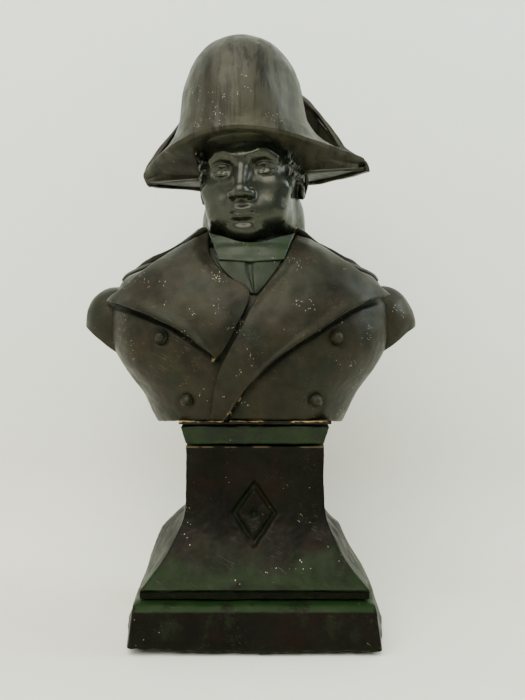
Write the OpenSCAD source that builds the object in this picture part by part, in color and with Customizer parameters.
// Miniature cast bust of an officer in a greatcoat and a two-cornered hat, on a waisted pedestal.
// The castings are thin shells that plug into each other. One tie rod clamps the pedestal stack.
// Origin: centre of the resting face. +Z up, the figure faces -Y.

/* [Bottom plate and plinth] */
// Thickness of the bottom plate
plate_t = 1.2; // [0.9:0.1:2]
// How far the bottom plate stands below the plinth
plate_proud = 0.5; // [0.3:0.1:0.8]
// Border of plinth left around the bottom plate
plate_border = 4; // [3:0.5:6]
// Height of the plinth, ledge included
plinth_h = 9; // [7:0.5:14]
// Height of the sloping ledge on top of the plinth
ledge_h = 1.5; // [1:0.1:2.5]
// Width of the plinth's front face at the floor
plinth_front_w = 46.4; // [40:0.2:56]
// Width of the plinth at the crest of its flanks, at the floor
plinth_flank_w = 51.8; // [48:0.2:66]
// Depth of the plinth at the floor
plinth_depth = 42; // [36:0.5:52]
// Thickness of the pedestal's cast walls
pedestal_wall = 3; // [2.5:0.1:4]

/* [Shaft] */
// Height of the waisted shaft
shaft_h = 27.8; // [22:0.2:36]
// Width of the shaft's front face at the waist
waist_w = 26; // [21.6:0.2:31.4]
// Depth of the shaft at the waist
waist_depth = 25; // [21:0.2:30]
// Height of the hollow sweep at the foot of the shaft
sweep_h = 16; // [13:0.5:19]
// Height of the shoulder on the shaft's flanks, above the plinth
flank_h = 10.8; // [9:0.2:13]
// Height of the groove across the foot of the shaft
groove_h = 2; // [1.5:0.1:2.5]
// Depth of that groove
groove_d = 1.2; // [0.6:0.1:1.6]
// Width of the incised lozenge
lozenge_w = 9; // [6:0.5:12]
// Height of the incised lozenge
lozenge_h = 12.5; // [9:0.5:15]
// Width of the incised line
lozenge_line = 1.1; // [0.8:0.1:1.6]
// Depth of the incised line
lozenge_d = 0.8; // [0.4:0.1:1.2]

/* [Cap of the pedestal] */
// Height of the flared neck block
neck_block_h = 4; // [3:0.2:6]
// How much wider the neck block is at its top, on each side
neck_flare = 1.1; // [0.6:0.1:1.6]
// Thickness of the slab under the bust
slab_t = 1.1; // [0.9:0.1:2]
// How far the slab stands out beyond the neck block
slab_out = 0.8; // [0.4:0.1:1.4]
// Length of the plug that the coat shell slips over
plug_h = 4; // [3:0.5:6]

/* [Coat] */
// Height of the coat shell
coat_h = 33.5; // [28:0.5:42]
// Greatest half width of the coat shell
coat_half_w = 28; // [23:0.5:34]
// How far the chest stands forward
chest_f = 18.5; // [17:0.5:23]
// How far the back stands behind
back_b = 13; // [12.5:0.5:17]
// Wall of the coat shell
coat_wall = 2.2; // [1.8:0.1:2.6]
// Sideways offset of the bust from the pedestal's axis
coat_shift = -1.4; // [-2:0.1:1]
// Thickness of the lapels and the collar
lapel_t = 1.3; // [0.9:0.1:1.8]
// Height of the standing part of the collar above the coat shell
collar_rise = 3.6; // [3:0.1:4.4]
// Radius of the coat buttons
button_r = 1.25; // [0.9:0.05:1.6]
// How far a sleeve cap stands out beyond the coat
sleeve_out = 5.7; // [4:0.1:7]
// Radius of the rounded shoulder in a sleeve cap
sleeve_r = 7; // [6:0.2:8]

/* [Head and hat] */
// Radius of the neck
neck_r = 7.8; // [6.4:0.1:9.5]
// Height of the head from chin to crown
head_h = 28; // [23:0.5:34]
// Turn of the head about the vertical
head_yaw = -10; // [-20:1:20]
// Lean of the head to one side
head_roll = -1.5; // [-4:0.5:4]
// Room between the skull and the outside of the hat's tall front
hat_room = 2.1; // [1.8:0.1:4]
// How far the hat's tips stand out beyond its tall front
tip_reach = 10.5; // [8:0.5:14]
// Height of the hat's front above its tips
hat_h = 28.5; // [26:0.5:34]
// Height of the rear flap above the tips
rear_h = 24; // [18:0.5:26]
// Sideways lean of the hat's upper part
hat_lean = -1.6; // [-2:0.1:2]
// Thickness of the hat's flaps
flap_t = 1.5; // [1.2:0.1:2]

/* [Fits] */
// Radius of the tie rod
rod_r = 2; // [1.5:0.1:2.4]
// Clearance between pieces that fit into each other
gap = 0.1; // [0.05:0.01:0.15]

/* [Hidden] */
SIDES = ["left", "right"];
LEVELS = ["upper", "lower"];
$fn = 64;

// Colours of the brown and green patina, the bare edges and the steel hardware
BROWN = [0.16, 0.14, 0.11];
GREEN = [0.13, 0.20, 0.13];
BRASS = [0.62, 0.50, 0.26];
STEEL = [0.60, 0.61, 0.63];

// Levels of the stack, from the floor up
plinth_z = plate_proud;
plinth_top = plinth_z + plinth_h;
shaft_top = plinth_top + shaft_h;
block_top = shaft_top + neck_block_h;
coat_z = block_top + slab_t;
coat_top = coat_z + coat_h;
chin_z = coat_top + 0.8;

// ---- small helpers ----

function lerp(a, b, t) = a + (b - a) * t;
function clamp01(t) = max(0, min(1, t));
function power(v, p) = sign(v) * pow(abs(v), p);
function unit(v) = v / max(norm(v), 1e-9);
function side_sign(side) = side == "left" ? -1 : 1;

// Smooth curve through rows [key, values...], read at one key
function row_at(rows, key) =
    let (
        last = len(rows) - 1,
        k = max(rows[0][0], min(rows[last][0], key)),
        i = max([for (j = [0 : last - 1]) if (rows[j][0] <= k) j]),
        p0 = rows[max(i - 1, 0)],
        p1 = rows[i],
        p2 = rows[i + 1],
        p3 = rows[min(i + 2, last)],
        span = p2[0] - p1[0],
        t = (k - p1[0]) / span,
        m1 = (p2 - p0) * span / (p2[0] - p0[0]),
        m2 = (p3 - p1) * span / (p3[0] - p1[0])
    )
    p1 * (2 * pow(t, 3) - 3 * pow(t, 2) + 1) + m1 * (pow(t, 3) - 2 * pow(t, 2) + t)
    + p2 * (3 * pow(t, 2) - 2 * pow(t, 3)) + m2 * (pow(t, 3) - pow(t, 2));

// Two triangles for the square between four numbered points
function square_faces(a, b, c, d) = [[a, b, c], [a, c, d]];

// Wall between neighbouring rings of n points, over the rings numbered in pairs
function wall_faces(pairs, n) = [
    for (p = pairs, j = [0 : n - 1])
        each square_faces(p[0] * n + j, p[1] * n + j, p[1] * n + (j + 1) % n, p[0] * n + (j + 1) % n)
];

// Solid skin over rings of equal length, closed by flat ends
module skin(rings) {
    n = len(rings[0]);
    last = len(rings) - 1;
    floor_face = [for (j = [0 : n - 1]) j];
    roof_face = [for (j = [n - 1 : -1 : 0]) last * n + j];
    walls = wall_faces([for (i = [0 : last - 1]) [i, i + 1]], n);
    polyhedron([for (r = rings) each r], concat(walls, [floor_face, roof_face]), convexity = 6);
}

// Closed tube: the rings run up the outside and come back down the inside
module tube_skin(rings) {
    m = len(rings);
    walls = wall_faces([for (i = [0 : m - 1]) [i, (i + 1) % m]], len(rings[0]));
    polyhedron([for (r = rings) each r], walls, convexity = 8);
}

// Plate between two grids of points, the outer one in front of the inner one
module plate_skin(outer, inner) {
    rows = len(outer);
    cols = len(outer[0]);
    base = rows * cols;
    faces_out = [
        for (i = [0 : rows - 2], j = [0 : cols - 2])
            each square_faces(i * cols + j, i * cols + j + 1, (i + 1) * cols + j + 1, (i + 1) * cols + j)
    ];
    faces_in = [for (f = faces_out) [base + f[0], base + f[2], base + f[1]]];
    rim = concat(
        [for (j = [0 : cols - 2]) j],
        [for (i = [0 : rows - 2]) i * cols + cols - 1],
        [for (j = [cols - 1 : -1 : 1]) (rows - 1) * cols + j],
        [for (i = [rows - 1 : -1 : 1]) i * cols]
    );
    k = len(rim);
    faces_rim = [
        for (i = [0 : k - 1]) each square_faces(rim[i], base + rim[i], base + rim[(i + 1) % k], rim[(i + 1) % k])
    ];
    points = concat([for (r = outer) each r], [for (r = inner) each r]);
    polyhedron(points, concat(faces_out, faces_in, faces_rim), convexity = 8);
}

// ---- pedestal ----

plinth_lean = 0.9; // the plinth's front corners lean in by this much over its height
sweep_front_w = plinth_front_w / 2 - plinth_lean - 1.2; // half width where the sweep meets the foot band
sweep_depth = plinth_depth / 2 - ledge_h; // half depth there
crest_half_y = 2; // half depth of the flat land along each flank's crest
flank_foot_w = plinth_flank_w / 2 - 3.1; // half width of the crest at the plinth's top
flank_slope = 0.46; // how fast the crest runs in, per millimetre of height
shoulder_slope = 1.1; // the same above the shoulder
crest_land = 0.4; // the least that the crest stands out beyond the front edge

// Share of the hollow sweep left at a height above the foot band
function sweep(z) = pow(1 - clamp01((z - plinth_top - groove_h) / sweep_h), 2);
function front_half_w(z) = lerp(waist_w / 2, sweep_front_w, sweep(z));
function half_depth(z) = lerp(waist_depth / 2, sweep_depth, sweep(z));
function crest_half_w(z) =
    let (
        rise = z - plinth_top,
        slope = flank_foot_w - flank_slope * rise,
        shoulder = flank_foot_w - flank_slope * flank_h - shoulder_slope * (rise - flank_h)
    )
    max(front_half_w(z) + crest_land, min(slope, shoulder));

// Eight-cornered plan: flat front and back, and flanks that rise to a narrow crest
function plan_ring(front_w, depth, crest_w, z, inset = 0) =
    let (f = front_w - inset, d = depth - inset, c = crest_w - inset, k = crest_half_y)
    [[-f, -d, z], [f, -d, z], [c, -k, z], [c, k, z], [f, d, z], [-f, d, z], [-c, k, z], [-c, -k, z]];

function shaft_ring(z, inset = 0) = plan_ring(front_half_w(z), half_depth(z), crest_half_w(z), z, inset);

// Heights at which the shaft's plan is drawn, even over the sweep
sweep_steps = 15;
shaft_levels = concat(
    [plinth_top, plinth_top + groove_h],
    [for (i = [1 : sweep_steps]) plinth_top + groove_h + sweep_h * i / sweep_steps],
    [shaft_top]
);

module lozenge_outline(w, h) {
    polygon([[-w / 2, 0], [0, -h / 2], [w / 2, 0], [0, h / 2]]);
}

// The incised line, as a prism that runs through the front face
module lozenge_prism() {
    middle = shaft_top - 12.9;
    inner_w = lozenge_w - 2.4 * lozenge_line;
    translate([-0.5, 0, middle]) rotate([90, 0, 0]) linear_extrude(plinth_depth / 2) {
        difference() {
            lozenge_outline(lozenge_w, lozenge_h);
            lozenge_outline(inner_w, inner_w * lozenge_h / lozenge_w);
        }
        circle(r = lozenge_line * 0.8);
    }
}

module rod_bore(top) {
    cylinder(r = rod_r + gap, h = top + 1);
}

module bottom_plate() {
    w = plinth_front_w - 2 * plate_border;
    d = plinth_depth - 2 * plate_border;
    color(BRASS) translate([-w / 2, -d / 2, 0]) cube([w, d, plate_t]);
}

// Box centred on the pedestal's axis that opens through the floor
module floor_recess(w, d, top) {
    translate([-w / 2, -d / 2, -1]) cube([w, d, top + 1]);
}

module plinth() {
    lip = plinth_top - ledge_h;
    top_w = plinth_front_w / 2 - plinth_lean;
    rebate_w = plinth_front_w - 2 * plate_border + 2 * gap;
    rebate_d = plinth_depth - 2 * plate_border + 2 * gap;
    color(BROWN) difference() {
        skin([
            plan_ring(plinth_front_w / 2, plinth_depth / 2, plinth_flank_w / 2, plinth_z),
            plan_ring(top_w, plinth_depth / 2 - 0.1, flank_foot_w + 0.7, lip),
            plan_ring(top_w - 0.2, sweep_depth, flank_foot_w, plinth_top)
        ]);
        floor_recess(rebate_w, rebate_d, plate_t);
        floor_recess(rebate_w - pedestal_wall, rebate_d - pedestal_wall, plinth_top - pedestal_wall);
        rod_bore(plinth_top);
    }
}

module pedestal_shaft() {
    hollow_w = waist_w - 2 * pedestal_wall;
    hollow_d = waist_depth - 2 * pedestal_wall;
    slot_w = 2 * plinth_flank_w;
    color(BROWN) difference() {
        union() {
            difference() {
                skin([for (z = shaft_levels) shaft_ring(z)]);
                lozenge_prism();
            }
            skin([for (z = shaft_levels) shaft_ring(z, lozenge_d)]);
        }
        for (face = [-1, 1]) {
            translate([-slot_w / 2, face * sweep_depth - groove_d, plinth_top - 1])
                cube([slot_w, 2 * groove_d, 1 + groove_h]);
        }
        floor_recess(hollow_w, hollow_d, shaft_top - pedestal_wall);
        rod_bore(shaft_top);
    }
}

module neck_block() {
    w = waist_w / 2;
    d = waist_depth / 2;
    f = neck_flare;
    color(GREEN) difference() {
        skin([
            plan_ring(w, d, w + crest_land, shaft_top),
            plan_ring(w + f, d + f, w + f + crest_land, block_top)
        ]);
        rod_bore(block_top);
    }
}

// ---- tie rod and its hardware ----

washer_t = 0.8;
nut_h = 3.2;
nut_flats = 3.5 * rod_r;
thread_gap = gap / 10;
washer_z = plinth_top - pedestal_wall - washer_t;

module tie_rod() {
    z = washer_z - nut_h - 0.4;
    color(STEEL) translate([0, 0, z]) cylinder(r = rod_r, h = coat_z + plug_h - 1 - z);
}

module washer() {
    color(STEEL) translate([0, 0, washer_z]) difference() {
        cylinder(r = 2.4 * rod_r, h = washer_t - thread_gap);
        translate([0, 0, -1]) cylinder(r = rod_r + gap, h = washer_t + 2);
    }
}

module hex_nut() {
    color(STEEL) translate([0, 0, washer_z - nut_h]) difference() {
        cylinder(d = nut_flats / cos(30), h = nut_h - thread_gap, $fn = 6);
        translate([0, 0, -1]) cylinder(r = rod_r + thread_gap, h = nut_h + 2);
    }
}

// ---- the coat's surface ----

// Share of the coat's height: half width, front, back and squareness of the outline there
BODY_ROWS = [
    [0.00, 0.61, 0.84, 0.70, 2.4],
    [0.13, 0.75, 0.94, 0.84, 2.5],
    [0.26, 0.88, 0.99, 0.94, 2.6],
    [0.40, 0.98, 1.00, 1.00, 2.7],
    [0.54, 1.00, 0.98, 1.00, 2.7],
    [0.71, 0.98, 0.90, 0.97, 2.5],
    [0.83, 0.91, 0.82, 0.93, 2.4],
    [0.88, 0.81, 0.78, 0.90, 2.3],
    [0.96, 0.61, 0.70, 0.86, 2.2]
];
// The same round the neck, as millimetres beyond the neck's radius
NECK_ROWS = [
    [1.03, 5.1, 3.7, 2.9, 2.1],
    [1.11, 1.9, 2.6, 2.5, 2.0],
    [1.18, 1.7, 2.4, 2.4, 2.0]
];
function coat_rows(half_w, front, back, neck) = concat(
    [for (r = BODY_ROWS) [r[0], r[1] * half_w, r[2] * front, r[3] * back, r[4]]],
    [for (r = NECK_ROWS) [r[0], r[1] + neck, r[2] + neck, r[3] + neck, r[4]]]
);
COAT_ROWS = coat_rows(coat_half_w, chest_f, back_b, neck_r);
DRAWN_ROWS = coat_rows(28, 18.5, 13, 7.8);

// Point on the coat's surface at an angle and a height. 0 degrees is +X and 270 degrees is the chest.
function coat_point(angle, z) =
    let (
        row = row_at(COAT_ROWS, (z - coat_z) / coat_h),
        e = 2 / row[4],
        reach = sin(angle) < 0 ? row[2] : row[3]
    )
    [coat_shift + row[1] * power(cos(angle), e), reach * power(sin(angle), e), z];

function coat_normal(angle, z) =
    let (
        around = coat_point(angle + 2, z) - coat_point(angle - 2, z),
        up = coat_point(angle, z + 0.4) - coat_point(angle, z - 0.4)
    )
    unit(cross(around, up));

function coat_offset(angle, z, off) = coat_point(angle, z) + off * coat_normal(angle, z);

// Angle on the chest for a place given by its x and z
function chest_angle(x, z) =
    let (
        row = row_at(COAT_ROWS, (z - coat_z) / coat_h),
        share = max(-1, min(1, (x - coat_shift) / row[1]))
    )
    360 - acos(power(share, row[4] / 2));

function chest_offset(p, off) = coat_offset(chest_angle(p[0], p[1]), p[1], off);

// Places on the coat are drawn as [x, z] on a coat 56 wide and 33.5 high, x from its middle, z from its foot
function on_coat(path) = [
    for (p = path)
        let (
            share = p[1] / 33.5,
            widening = row_at(COAT_ROWS, share)[1] / row_at(DRAWN_ROWS, share)[1]
        )
        [coat_shift + p[0] * widening, coat_z + share * coat_h]
];

// Place at share t of a smooth curve through some places
function place_along(path, t) =
    let (last = len(path) - 1, row = row_at([for (i = [0 : last]) [i / last, path[i][0], path[i][1]]], t))
    [row[1], row[2]];

// Things placed on the chest at [x, z], with their own +Z along the surface's normal
module on_chest(place) {
    n = coat_normal(chest_angle(place[0], place[1]), place[1]);
    translate(chest_offset(place, 0))
        rotate([0, 0, atan2(n[0], -n[1])])
            rotate([90 - asin(n[2]), 0, 0])
                children();
}

// ---- the coat ----

coat_sides = 52;
coat_levels = 16;
socket_h = 4; // depth of the socket that takes the neck
socket_z = coat_top - socket_h;
ledge_r = neck_r - 1.6; // radius of the hole below the socket, so the neck has a ledge to stand on
shank_r = 0.6;
sleeve_peg_r = 1.2;
sleeve_z = coat_z + 0.667 * coat_h - 3.4; // just under the lapels' outer tips

function flat_ring(z, off) =
    [for (i = [0 : coat_sides - 1]) let (p = coat_offset(360 * i / coat_sides, z, off)) [p[0], p[1], z]];
function coat_rings(off) = [for (i = [0 : coat_levels]) flat_ring(lerp(coat_z, coat_top, i / coat_levels), off)];
function round_ring(r, z) =
    [for (i = [0 : coat_sides - 1]) let (a = 360 * i / coat_sides) [coat_shift + r * cos(a), r * sin(a), z]];

function button_place(side, level) =
    on_coat([[side_sign(side) * (level == "upper" ? 16.4 : 12.6), level == "upper" ? 15.6 : 4.2]])[0];

module button_shank(extra) {
    translate([0, 0, -coat_wall - 0.5]) cylinder(r = shank_r + extra, h = coat_wall + 1);
}

module sleeve_peg(side, extra) {
    translate([coat_shift, 0, sleeve_z])
        rotate([0, side_sign(side) * 90, 0])
            translate([0, 0, coat_half_w - coat_wall - 1]) cylinder(r = sleeve_peg_r + extra, h = coat_wall + 3);
}

module coat_shell() {
    socket = [
        round_ring(neck_r + gap, coat_top),
        round_ring(neck_r + gap, socket_z),
        round_ring(ledge_r, socket_z),
        round_ring(ledge_r, socket_z - 1.5)
    ];
    steps = coat_levels - 2;
    inner = [for (i = [0 : steps]) flat_ring(lerp(socket_z - 1.5, coat_z, i / steps), -coat_wall)];
    color(BROWN) difference() {
        tube_skin(concat(coat_rings(0), socket, inner));
        for (s = SIDES, l = LEVELS) on_chest(button_place(s, l)) button_shank(gap / 2);
        for (s = SIDES) sleeve_peg(s, gap / 2);
    }
}

module bust_slab() {
    w = waist_w / 2 + neck_flare + slab_out;
    d = waist_depth / 2 + neck_flare + slab_out;
    mouth = flat_ring(coat_z, -coat_wall - gap);
    plug = [for (z = [block_top + slab_t / 2, coat_z + plug_h]) [for (p = mouth) [p[0], p[1], z]]];
    color(GREEN) difference() {
        union() {
            translate([-w, -d, block_top]) cube([2 * w, 2 * d, slab_t]);
            skin(plug);
        }
        translate([0, 0, block_top - 1]) cylinder(r = rod_r + thread_gap, h = plug_h + slab_t + 2);
    }
}

lapel_rows = 14;
lapel_cols = 10;
lapel_lift = coat_half_w / 80; // the lapels lie this far off the coat, clear of its facets

// Plate that lies on the chest between two curves. It is thin along the first and thick along the second.
module chest_plate(edge_a, edge_b, thin, thick, under = 0) {
    function grid(share) = [
        for (i = [0 : lapel_rows]) [
            for (j = [0 : lapel_cols])
                let (
                    t = i / lapel_rows,
                    k = j / lapel_cols,
                    place = lerp(place_along(edge_a, t), place_along(edge_b, t), k)
                )
                chest_offset(place, lapel_lift + share * lerp(thin, thick, k) - under)
        ]
    ];
    if (edge_b[0][0] < edge_a[0][0]) plate_skin(grid(0), grid(1));
    else plate_skin(grid(1), grid(0));
}

LEFT_OPENING = [[-8.6, 37.0], [-7.8, 31.6], [-4.4, 27.2], [0.2, 23.4], [-2.4, 16.9], [-5.2, 12.2]];
LEFT_EDGE = [[-27.2, 22.3], [-22.4, 20.9], [-17.0, 18.8], [-13.0, 16.8], [-9.2, 14.2], [-5.7, 11.7]];
RIGHT_OPENING = [[9.0, 36.2], [6.2, 29.4], [1.4, 23.0], [-1.6, 16.9], [-5.0, 10.4], [-6.6, 4.8], [-7.0, 0.5]];
RIGHT_EDGE = [[26.7, 23.4], [20.2, 21.2], [13.4, 17.0], [8.5, 14.1], [3.0, 9.9], [-1.5, 5.2], [-4.6, 0.5]];

module left_lapel() {
    color(BROWN) chest_plate(on_coat(LEFT_OPENING), on_coat(LEFT_EDGE), lapel_t * 0.7, lapel_t);
}

module right_lapel() {
    color(BROWN) chest_plate(on_coat(RIGHT_OPENING), on_coat(RIGHT_EDGE), lapel_t * 0.9, lapel_t);
}

module shirt_front() {
    left_edge = [[-6.6, 31.8], [-3.4, 27.4], [0.7, 24.4]];
    right_edge = [[6.8, 31.8], [3.8, 27.4], [1.5, 24.4]];
    color(GREEN) chest_plate(on_coat(right_edge), on_coat(left_edge), 0.4, 0.4);
}

// Angle on the coat where a lapel's top edge crosses a height
function lapel_top_angle(opening, edge, z) =
    let (
        a = on_coat(opening)[0],
        b = on_coat(edge)[0],
        x = lerp(a[0], b[0], (z - a[1]) / (b[1] - a[1]))
    )
    chest_angle(x, z);

// The turned-down collar wraps the back of the neck and falls to the shoulders and the back
module coat_collar() {
    rows = 24;
    cols = 5;
    seam = 3; // degrees left free beside each lapel
    function fall(share) = coat_top - lerp(0.4, 9, sin(share * 180));
    function grid(off) = [
        for (i = [0 : rows]) [
            for (j = [0 : cols])
                let (
                    share = i / rows,
                    z = lerp(coat_top + collar_rise, fall(share), j / cols),
                    start = lapel_top_angle(RIGHT_OPENING, RIGHT_EDGE, z) - 360 + seam,
                    finish = lapel_top_angle(LEFT_OPENING, LEFT_EDGE, z) - seam
                )
                coat_offset(lerp(start, finish, share), z, off)
        ]
    ];
    color(BROWN) plate_skin(grid(gap + lapel_t), grid(gap));
}

// One sleeve cap: a rounded shoulder, cut off on a slant under the arm and let in behind the lapel
module sleeve_cap(side) {
    s = side_sign(side);
    opening = side == "left" ? LEFT_OPENING : RIGHT_OPENING;
    edge = side == "left" ? LEFT_EDGE : RIGHT_EDGE;
    reach = coat_half_w + sleeve_out;
    grown = [for (p = edge) [p[0] * 1.03, p[1] - 0.3]];
    raised = [for (p = opening) [p[0], p[1] + 0.6]];
    let_in = 0.4;
    color(BROWN) {
        difference() {
            translate([coat_shift, 0, 0]) hull() {
                translate([s * (reach - sleeve_r), 0, sleeve_z]) sphere(r = sleeve_r, $fn = 28);
                translate([s * (coat_half_w - 3.5), 0.6, sleeve_z + 1]) sphere(r = sleeve_r, $fn = 28);
            }
            skin(coat_rings(gap));
            chest_plate(on_coat(raised), on_coat(grown), lapel_t + let_in + gap, lapel_t + let_in + gap, let_in);
            translate([coat_shift + s * reach, 0, sleeve_z - 0.7])
                rotate([0, -s * 45, 0]) translate([-20, -15, -20]) cube([40, 30, 20]);
        }
        sleeve_peg(side, 0);
    }
}

// One shoulder strap: a short padded roll that lies on the shoulder, from the collar to the sleeve
module shoulder_strap(side) {
    rows = 8;
    cols = 6;
    top_z = coat_top - 1.2;
    end_z = sleeve_z + sleeve_r + 1.3;
    spread = side_sign(side);
    middle = side == "left" ? 180 : 0;
    function grid(share) = [
        for (i = [0 : rows]) [
            for (j = [0 : cols])
                let (
                    t = i / rows,
                    k = j / cols - 0.5,
                    pad = lapel_t * (0.3 + 0.6 * sin(180 * pow(t, 1.4))) + lapel_t * (0.5 - 2 * k * k)
                )
                coat_offset(middle + spread * lerp(36, 24, t) * k, lerp(top_z, end_z, t), 2 * gap + share * pad)
        ]
    ];
    color(BROWN) {
        if (side == "left") plate_skin(grid(0), grid(1));
        else plate_skin(grid(1), grid(0));
    }
}

module coat_button(side, level) {
    dome_r = button_r * 1.14;
    rim_h = 0.5;
    color(BROWN) on_chest(button_place(side, level)) {
        button_shank(0);
        translate([0, 0, gap]) cylinder(r = button_r, h = rim_h);
        translate([0, 0, gap + rim_h]) intersection() {
            translate([0, 0, -sqrt(pow(dome_r, 2) - pow(button_r, 2))]) sphere(r = dome_r);
            translate([0, 0, -0.1]) cylinder(r = button_r, h = button_r);
        }
    }
}

// ---- neck and head ----

// The stock: a plain band of cloth round the neck, higher behind than under the chin
module neck_stock() {
    band_t = 1.1;
    tallest = 4.6;
    slant = 12;
    color(GREEN) translate([coat_shift, 0, coat_top + gap]) difference() {
        rotate_extrude() translate([neck_r + gap, 0]) square([band_t, tallest]);
        translate([0, 0, tallest / 2]) rotate([slant, 0, 0]) translate([-15, -15, 0]) cube([30, 30, 10]);
    }
}

// The head's own frame: turned and leaned about the top of the neck
module head_frame() {
    translate([coat_shift * 0.6, -1.2, chin_z]) rotate([0, head_roll, head_yaw]) children();
}

skull_r = head_h * 0.37;
skull_place = [0, 0.04, 0.63] * head_h;
brow_place = [0, -0.09, 0.45] * head_h;
chin_place = [0, -0.21, 0.12] * head_h;
nape_place = [0, 0.14, 0.40] * head_h;

module skull(extra = 0) {
    hull() {
        translate(skull_place) sphere(r = skull_r + extra, $fn = 28);
        translate(brow_place) scale([0.86, 1, 1]) sphere(r = head_h * 0.30 + extra, $fn = 28);
        translate(chin_place) scale([1.25, 1, 1]) sphere(r = head_h * 0.12 + extra, $fn = 28);
        translate(nape_place) sphere(r = head_h * 0.27 + extra, $fn = 28);
    }
}

module nose() {
    hull() {
        translate([0, -0.37, 0.55] * head_h) sphere(r = head_h * 0.028, $fn = 16);
        translate([0, -0.435, 0.33] * head_h) sphere(r = head_h * 0.04, $fn = 16);
        translate([0, -0.35, 0.31] * head_h) scale([1.6, 1, 1]) sphere(r = head_h * 0.04, $fn = 16);
    }
}

module ear(side) {
    translate([side_sign(side) * 0.325, 0.065, 0.42] * head_h) rotate([0, 0, side_sign(side) * 20])
        hull() {
            translate([0, 0, 0.057] * head_h) sphere(r = head_h * 0.053, $fn = 16);
            translate([0, -0.02, -0.08] * head_h) sphere(r = head_h * 0.036, $fn = 16);
        }
}

module head() {
    color(BROWN) {
        translate([coat_shift, 0, socket_z + gap]) cylinder(r = neck_r, h = chin_z - socket_z + 5);
        head_frame() {
            skull();
            nose();
            for (s = SIDES) {
                ear(s);
                translate([side_sign(s) / 7, -0.335, 0.5] * head_h) sphere(r = head_h * 0.046);
            }
            for (lip = [0, 1])
                translate([0, -0.34, 0.19 + lip * 0.032] * head_h) scale([4, 1.4, 1]) sphere(r = head_h * 0.021);
        }
    }
}

// ---- hat, in the head's frame ----

hat_dome_w = skull_r + hat_room;
hat_half_w = hat_dome_w + tip_reach;
brim_rise = 7.2; // how much higher the front edge is at the middle than at the tips
front_d = hat_dome_w + 1.4; // depth of the tall front before the middle of the head
rear_d = hat_dome_w + 0.4; // how far the rear flap stands behind the middle of the head
flare_h = 13; // height over which the front flap sweeps out to its edge
tip_h = head_h / 2; // height of the tips above the chin
upright_h = tip_h + 9; // the tall front is upright up to here
hat_top = tip_h + hat_h;
flap_rows = 26;

// Sideways place of the hat's middle at a height
function lean(z) = 0.3 + hat_lean * clamp01((z - tip_h) / (upright_h - tip_h + 5));

function brim_z(angle) = tip_h + brim_rise * pow(abs(sin(angle)), 1.2);
function dome_share(z) = pow(1 - pow(clamp01((z - upright_h) / (hat_top - upright_h)), 2.4), 1 / 2.4);
function flare(angle, z) =
    let (k = pow(1 - clamp01((z - brim_z(angle)) / flare_h), 2.2))
    k * ((hat_half_w - hat_dome_w) * pow(cos(angle), 2) + 1.6 * pow(sin(angle), 2));

// Point inside the tall front at some depth under its surface: 180 to 360 degrees is left tip to right tip
function dome_point(angle, z, depth) =
    let (d = dome_share(z), f = flare(angle, z))
    [
        (d * (hat_dome_w - depth) + f) * cos(angle) + lean(z),
        (d * (front_d - depth) + f * abs(sin(angle))) * sin(angle),
        z - depth * (1 - d)
    ];

module hat_front_flap() {
    cols = 12;
    top = hat_top - 0.02;
    function grid(depth) = [
        for (i = [0 : flap_rows]) [
            for (j = [0 : cols])
                let (angle = lerp(181, 359, i / flap_rows))
                dome_point(angle, lerp(brim_z(angle), top, 1 - pow(1 - j / cols, 1.6)), depth)
        ]
    ];
    color(BROWN) head_frame() plate_skin(grid(0), grid(flap_t));
}

// The rear flap: an upright half round that wraps the back of the head and meets the front flap's tips
module hat_rear_flap() {
    cols = 8;
    tip_rise = 2; // height of the flap's blunt tips
    tip_w = hat_half_w - 0.3;
    function grid(off) = [
        for (i = [0 : flap_rows]) [
            for (j = [0 : cols])
                let (
                    u = lerp(-1, 1, i / flap_rows),
                    rise = lerp(tip_rise, rear_h, 1 - pow(u, 2)),
                    bow = pow(cos(90 * u), 0.8),
                    z = tip_h + lerp(-0.4, rise, j / cols)
                )
                [u * (tip_w + off / 2) + lean(z), gap + rear_d * bow + off, z]
        ]
    ];
    color(GREEN) head_frame() plate_skin(grid(0), grid(flap_t));
}

// The crown fills the hat between its two flaps and sits on the head like a cap
module hat_crown() {
    levels = 10;
    inset = flap_t + gap;
    foot = tip_h + brim_rise;
    function crown_ring(z) = [
        for (a = [0 : 10 : 350])
            let (d = dome_share(z), reach = sin(a) < 0 ? front_d - inset : rear_d - gap)
            [d * (hat_dome_w - inset) * cos(a) + lean(z), d * reach * sin(a), z - inset * (1 - d)]
    ];
    color(BROWN) head_frame() difference() {
        skin([for (i = [0 : levels]) crown_ring(lerp(foot, hat_top - 0.1, i / levels))]);
        skull(gap);
    }
}

// ---- the nodes ----

bottom_plate();
plinth();
pedestal_shaft();
neck_block();
bust_slab();
tie_rod();
washer();
hex_nut();
coat_shell();
shirt_front();
neck_stock();
coat_collar();
left_lapel();
right_lapel();
head();
hat_crown();
hat_front_flap();
hat_rear_flap();
for (s = SIDES) {
    sleeve_cap(s);
    shoulder_strap(s);
    for (l = LEVELS) {
        coat_button(s, l);
    }
}
